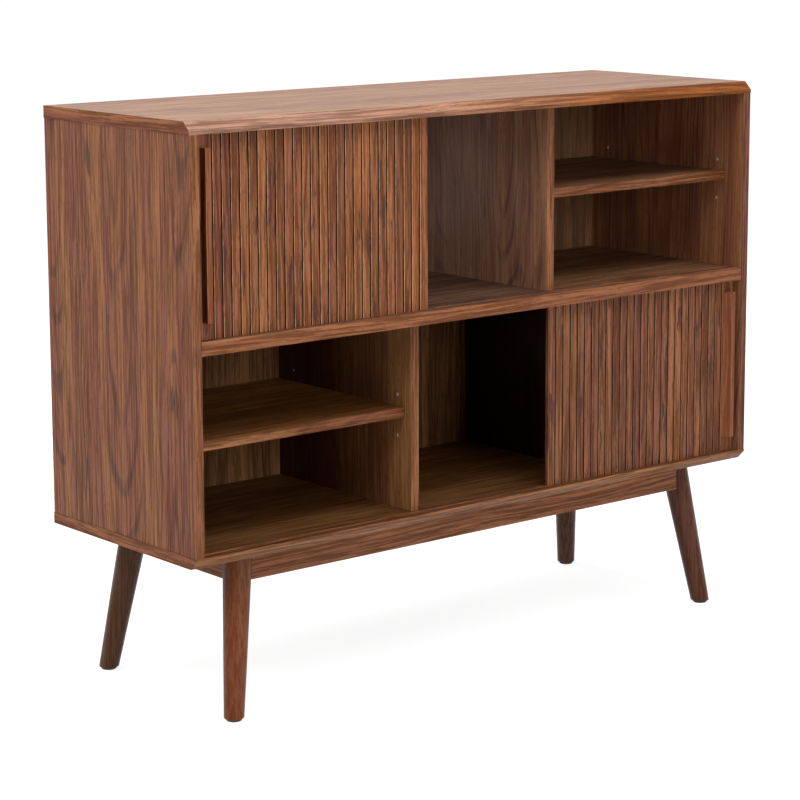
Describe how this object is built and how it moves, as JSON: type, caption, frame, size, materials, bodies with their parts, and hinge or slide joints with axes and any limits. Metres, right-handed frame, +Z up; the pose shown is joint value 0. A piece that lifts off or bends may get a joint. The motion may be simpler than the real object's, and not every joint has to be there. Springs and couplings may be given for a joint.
{
  "type": "media cabinet",
  "caption": "Low wooden media cabinet with open shelf bays, slatted sliding doors in both tiers and splayed tapered legs.",
  "frame": {"origin": "on the floor, under the middle of the cabinet", "axes": "+X to the right seen from the front, +Y to the back, +Z up"},
  "size_m": [1.202, 0.4, 0.934],
  "materials": {
    "walnut_veneer": "satin",
    "slatted_door": "satin",
    "solid_walnut": "satin",
    "back_sheet": "matt",
    "beech": "matt",
    "steel": "satin",
    "brass": "satin",
    "black_plastic": "matt",
    "nylon": "matt"
  },
  "bodies": {
    "cabinet": {"top_board": "walnut_veneer", "middle_board": "walnut_veneer", "bottom_board": "walnut_veneer", "left_side_panel": "walnut_veneer", "right_side_panel": "walnut_veneer", "upper_left_divider": "walnut_veneer", "upper_right_divider": "walnut_veneer", "lower_left_divider": "walnut_veneer", "lower_right_divider": "walnut_veneer", "upper_shelf": "walnut_veneer", "lower_shelf": "walnut_veneer", "back_panel": "back_sheet", "back_panel_screws": "steel", "carcass_dowels": "beech", "upper_shelf_supports": "steel", "lower_shelf_supports": "steel", "front_rail": "solid_walnut", "rear_rail": "solid_walnut", "left_rail": "solid_walnut", "right_rail": "solid_walnut", "centre_rail": "solid_walnut", "front_left_leg": "solid_walnut", "front_right_leg": "solid_walnut", "rear_left_leg": "solid_walnut", "rear_right_leg": "solid_walnut", "rail_screws": "steel", "leg_bolts": "steel", "leg_inserts": "brass", "front_left_foot_pad": "black_plastic", "front_right_foot_pad": "black_plastic", "rear_left_foot_pad": "black_plastic", "rear_right_foot_pad": "black_plastic"},
    "upper_door": {"upper_door": "slatted_door", "upper_door_handle": "solid_walnut", "upper_handle_screws": "steel", "upper_door_glides": "nylon"},
    "lower_door": {"lower_door": "slatted_door", "lower_door_handle": "solid_walnut", "lower_handle_screws": "steel", "lower_door_glides": "nylon"}
  },
  "joints": [
    {"name": "upper_door_slide", "type": "slide", "parent": "cabinet", "child": "upper_door", "axis": [1, 0, 0], "range_m": [0, 0.7155]},
    {"name": "lower_door_slide", "type": "slide", "parent": "cabinet", "child": "lower_door", "axis": [-1, 0, 0], "range_m": [0, 0.7155]}
  ]
}
